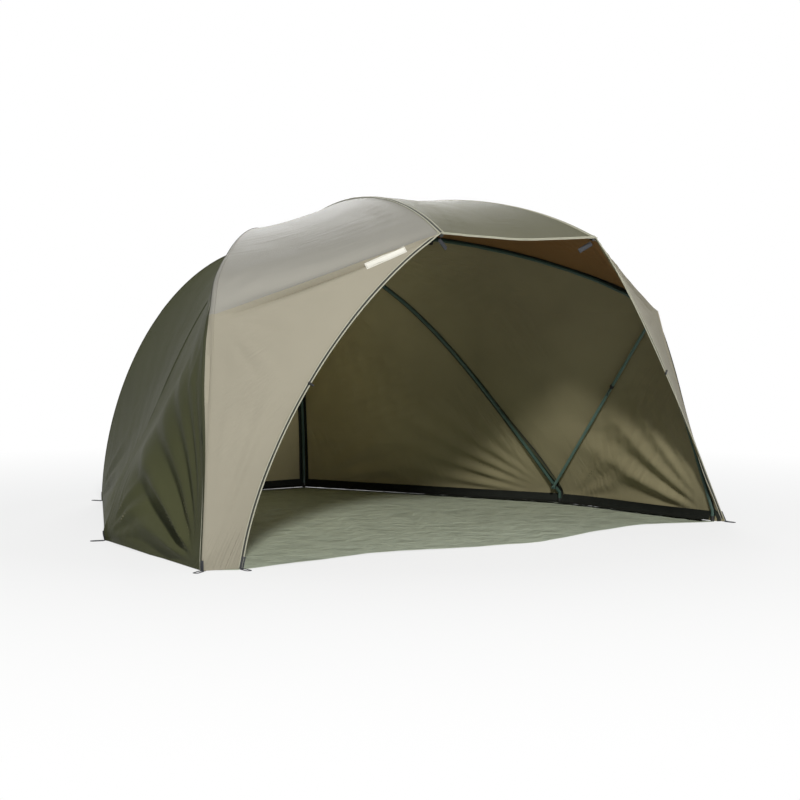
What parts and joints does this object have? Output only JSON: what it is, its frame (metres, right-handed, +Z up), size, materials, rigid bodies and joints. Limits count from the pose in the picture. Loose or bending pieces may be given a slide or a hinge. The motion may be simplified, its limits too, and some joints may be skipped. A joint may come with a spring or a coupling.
{
  "type": "fishing umbrella",
  "caption": "Oval fishing umbrella on curved ribs with closed sides, low peak over an open front, side struts and a groundsheet.",
  "frame": {"origin": "on the ground, below the middle between the feet, under the middle of the overall box", "axes": "+Z up; the open front faces -Y; +X to the right as seen from behind the umbrella"},
  "size_m": [2.6191, 2.525, 1.3766],
  "materials": {
    "cover_cloth": "woven polyester, slight sheen",
    "rib_tube": "dark green anodised",
    "black_plastic": "moulded, matte",
    "black_webbing": "woven webbing",
    "sheet_cloth": "coated heavy cloth",
    "label_cloth": "plain woven tab",
    "strut_tube": "green anodised"
  },
  "bodies": {
    "ground": {"groundsheet": "sheet_cloth"},
    "frame_head": {"head": "black_plastic", "cap_post": "black_plastic", "vent_cap": "cover_cloth", "centre_stub": "rib_tube", "stub_grip": "black_plastic"},
    "collar": {"lock_collar": "black_plastic"},
    "button": {"collar_button": "black_plastic"},
    "peak_right": {"peak_rib_right": "rib_tube", "peak_tip_right": "black_plastic", "peak_panel_right": "cover_cloth"},
    "front_right": {"front_rib_right": "rib_tube", "front_saddle_right": "black_plastic", "elbow_right": "black_plastic", "front_panel_right": "cover_cloth"},
    "leg_right": {"front_leg_right": "rib_tube", "front_foot_right": "black_plastic", "wing_panel_right": "cover_cloth", "peg_loop_wing_right": "black_webbing"},
    "mid_right": {"mid_rib_right": "rib_tube", "mid_saddle_right": "black_plastic", "mid_foot_right": "black_plastic", "strut_bracket_right": "black_plastic", "mid_panel_right": "cover_cloth", "peg_loop_mid_right": "black_webbing"},
    "strut_right": {"side_strut_right": "strut_tube", "strut_tie_right": "black_webbing"},
    "rear_right": {"rear_rib_right": "rib_tube", "rear_foot_right": "black_plastic", "rear_panel_right": "cover_cloth", "peg_loop_rear_right": "black_webbing"},
    "peak_left": {"peak_rib_left": "rib_tube", "peak_tip_left": "black_plastic", "peak_panel_left": "cover_cloth"},
    "front_left": {"front_rib_left": "rib_tube", "front_saddle_left": "black_plastic", "elbow_left": "black_plastic", "front_panel_left": "cover_cloth"},
    "leg_left": {"front_leg_left": "rib_tube", "front_foot_left": "black_plastic", "wing_panel_left": "cover_cloth", "peg_loop_wing_left": "black_webbing", "peg_loop_front_left": "black_webbing", "label_tab": "label_cloth"},
    "mid_left": {"mid_rib_left": "rib_tube", "mid_saddle_left": "black_plastic", "mid_foot_left": "black_plastic", "strut_bracket_left": "black_plastic", "mid_panel_left": "cover_cloth", "peg_loop_mid_left": "black_webbing"},
    "strut_left": {"side_strut_left": "strut_tube", "strut_tie_left": "black_webbing"},
    "rear_left": {"rear_rib_left": "rib_tube", "rear_foot_left": "black_plastic", "rear_panel_left": "cover_cloth", "peg_loop_rear_left": "black_webbing"}
  },
  "joints": [
    {"name": "head_lift", "type": "slide", "parent": "ground", "child": "frame_head", "axis": [0, 0, 1], "range_m": [0, 1.15], "deforming": ["groundsheet", "peak_panel_right", "front_panel_right", "wing_panel_right", "mid_panel_right", "rear_panel_right", "peak_panel_left", "front_panel_left", "wing_panel_left", "mid_panel_left", "rear_panel_left"]},
    {"name": "peak_fold_right", "type": "hinge", "parent": "frame_head", "child": "peak_right", "pos_m": [0.00859, 0.50889, 1.2], "axis": [0.9788, 0.2046, 0], "range_deg": [0, 78]},
    {"name": "front_fold_right", "type": "hinge", "parent": "frame_head", "child": "front_right", "pos_m": [0.02637, 0.51731, 1.2], "axis": [0.7784, 0.6278, 0], "range_deg": [0, 60]},
    {"name": "mid_fold_right", "type": "hinge", "parent": "frame_head", "child": "mid_right", "pos_m": [0.03711, 0.53033, 1.2], "axis": [0.4682, 0.8836, 0], "range_deg": [0, 38]},
    {"name": "rear_fold_right", "type": "hinge", "parent": "frame_head", "child": "rear_right", "pos_m": [0.02658, 0.58252, 1.2], "axis": [-0.7742, 0.6329, 0], "range_deg": [0, 27]},
    {"name": "leg_fold_right", "type": "hinge", "parent": "front_right", "child": "leg_right", "pos_m": [1.08625, -0.79695, 0.897], "axis": [0.7784, 0.6278, 0], "range_deg": [0, 112]},
    {"name": "strut_swing_right", "type": "hinge", "parent": "mid_right", "child": "strut_right", "pos_m": [1.13315, -0.06685, 0.07579], "axis": [-0.7366, -0.4702, -0.4862], "range_deg": [0, 86]},
    {"name": "peak_fold_left", "type": "hinge", "parent": "frame_head", "child": "peak_left", "pos_m": [-0.00859, 0.50889, 1.2], "axis": [0.9788, -0.2046, 0], "range_deg": [0, 78]},
    {"name": "front_fold_left", "type": "hinge", "parent": "frame_head", "child": "front_left", "pos_m": [-0.02637, 0.51731, 1.2], "axis": [0.7784, -0.6278, 0], "range_deg": [0, 60]},
    {"name": "mid_fold_left", "type": "hinge", "parent": "frame_head", "child": "mid_left", "pos_m": [-0.03711, 0.53033, 1.2], "axis": [0.4682, -0.8836, 0], "range_deg": [0, 38]},
    {"name": "rear_fold_left", "type": "hinge", "parent": "frame_head", "child": "rear_left", "pos_m": [-0.02658, 0.58252, 1.2], "axis": [-0.7742, -0.6329, 0], "range_deg": [0, 27]},
    {"name": "leg_fold_left", "type": "hinge", "parent": "front_left", "child": "leg_left", "pos_m": [-1.08625, -0.79695, 0.897], "axis": [0.7784, -0.6278, 0], "range_deg": [0, 112]},
    {"name": "strut_swing_left", "type": "hinge", "parent": "mid_left", "child": "strut_left", "pos_m": [-1.13315, -0.06685, 0.07579], "axis": [-0.7366, 0.4702, 0.4862], "range_deg": [0, 86]},
    {"name": "collar_slide", "type": "slide", "parent": "frame_head", "child": "collar", "axis": [0, 0, -1], "range_m": [0, 0.1]},
    {"name": "button_press", "type": "slide", "parent": "collar", "child": "button", "axis": [0, 1, 0], "range_m": [0, 0.003], "stiffness_N_per_m": 600, "springref_m": -0.002}
  ],
  "couplings": [
    {"joint": "peak_fold_right", "follows": "head_lift", "rad_per_m": 1.1832},
    {"joint": "front_fold_right", "follows": "head_lift", "rad_per_m": 0.91015},
    {"joint": "mid_fold_right", "follows": "head_lift", "rad_per_m": 0.57643},
    {"joint": "rear_fold_right", "follows": "head_lift", "rad_per_m": 0.40957},
    {"joint": "leg_fold_right", "follows": "head_lift", "rad_per_m": 1.6989},
    {"joint": "strut_swing_right", "follows": "head_lift", "rad_per_m": 1.3046},
    {"joint": "peak_fold_left", "follows": "head_lift", "rad_per_m": 1.1832},
    {"joint": "front_fold_left", "follows": "head_lift", "rad_per_m": 0.91015},
    {"joint": "mid_fold_left", "follows": "head_lift", "rad_per_m": 0.57643},
    {"joint": "rear_fold_left", "follows": "head_lift", "rad_per_m": 0.40957},
    {"joint": "leg_fold_left", "follows": "head_lift", "rad_per_m": 1.6989},
    {"joint": "strut_swing_left", "follows": "head_lift", "rad_per_m": 1.3046}
  ]
}
